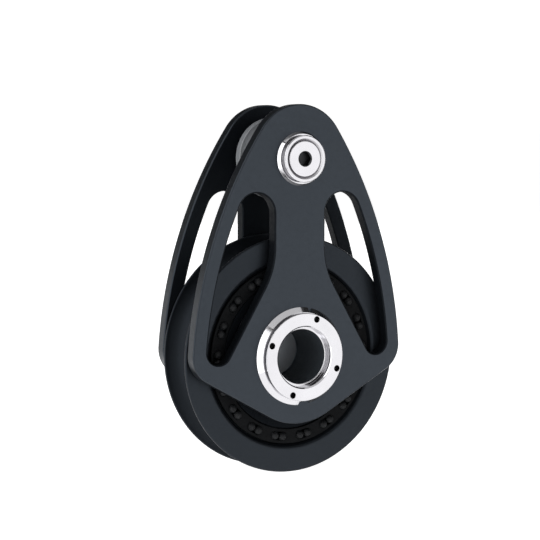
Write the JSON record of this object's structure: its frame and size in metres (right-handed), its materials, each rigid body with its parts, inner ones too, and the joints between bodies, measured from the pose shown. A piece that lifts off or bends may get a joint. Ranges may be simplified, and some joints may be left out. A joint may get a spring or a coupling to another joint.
{
  "type": "single sheave block",
  "caption": "Rope block with a ball and roller bearing sheave between two cut-out side plates, hung by a lashing loop round a spool at its head.",
  "frame": {"origin": "hub centre, on the sheave's axis and the mid-plane between the side plates", "axes": "+Z from the hub to the head, Y along the sheave's axle with the front at -Y, +X to the right seen from the front"},
  "size_m": [0.075, 0.0316, 0.116],
  "materials": {
    "black_anodised": "satin black hard anodised",
    "sheave_black": "turned, black hard anodised",
    "polished_steel": "mirror polished stainless steel",
    "hard_steel": "ground stainless steel",
    "bare_aluminium": "satin clear anodised",
    "black_acetal": "moulded acetal",
    "roller_resin": "ground bearing resin",
    "ball_acetal": "tumbled acetal"
  },
  "bodies": {
    "block_frame": {"front_side_plate": "black_anodised", "rear_side_plate": "black_anodised", "hub_axle": "hard_steel", "inner_race": "hard_steel", "front_bearing_washer": "black_acetal", "rear_bearing_washer": "black_acetal", "front_hub_washer": "polished_steel", "rear_hub_washer": "polished_steel", "front_hub_nut": "polished_steel", "rear_hub_nut": "polished_steel", "head_post": "hard_steel", "front_spool_washer": "black_acetal", "rear_spool_washer": "black_acetal", "front_post_collar": "polished_steel", "rear_post_collar": "polished_steel", "front_post_screw": "polished_steel", "rear_post_screw": "polished_steel"},
    "sheave_wheel": {"sheave": "sheave_black", "outer_race": "hard_steel"},
    "roller_train": {"roller_set": "roller_resin", "roller_cage": "black_acetal"},
    "front_ball_train": {"front_thrust_balls": "ball_acetal", "front_ball_retainer": "black_acetal"},
    "rear_ball_train": {"rear_thrust_balls": "ball_acetal", "rear_ball_retainer": "black_acetal"},
    "spool_wheel": {"loop_spool": "bare_aluminium"}
  },
  "joints": [
    {"name": "sheave_spin", "type": "hinge", "parent": "block_frame", "child": "sheave_wheel", "pos_m": [0, 0, 0], "axis": [0, 1, 0], "continuous": true},
    {"name": "roller_orbit", "type": "hinge", "parent": "block_frame", "child": "roller_train", "pos_m": [0, 0, 0], "axis": [0, 1, 0], "continuous": true},
    {"name": "front_ball_orbit", "type": "hinge", "parent": "block_frame", "child": "front_ball_train", "pos_m": [0, 0, 0], "axis": [0, 1, 0], "continuous": true},
    {"name": "rear_ball_orbit", "type": "hinge", "parent": "block_frame", "child": "rear_ball_train", "pos_m": [0, 0, 0], "axis": [0, 1, 0], "continuous": true},
    {"name": "spool_spin", "type": "hinge", "parent": "block_frame", "child": "spool_wheel", "pos_m": [0, 0, 0.0616], "axis": [0, 1, 0], "continuous": true}
  ],
  "couplings": [
    {"joint": "roller_orbit", "follows": "sheave_spin", "ratio": 0.551},
    {"joint": "front_ball_orbit", "follows": "sheave_spin", "ratio": 0.5},
    {"joint": "rear_ball_orbit", "follows": "sheave_spin", "ratio": 0.5}
  ]
}
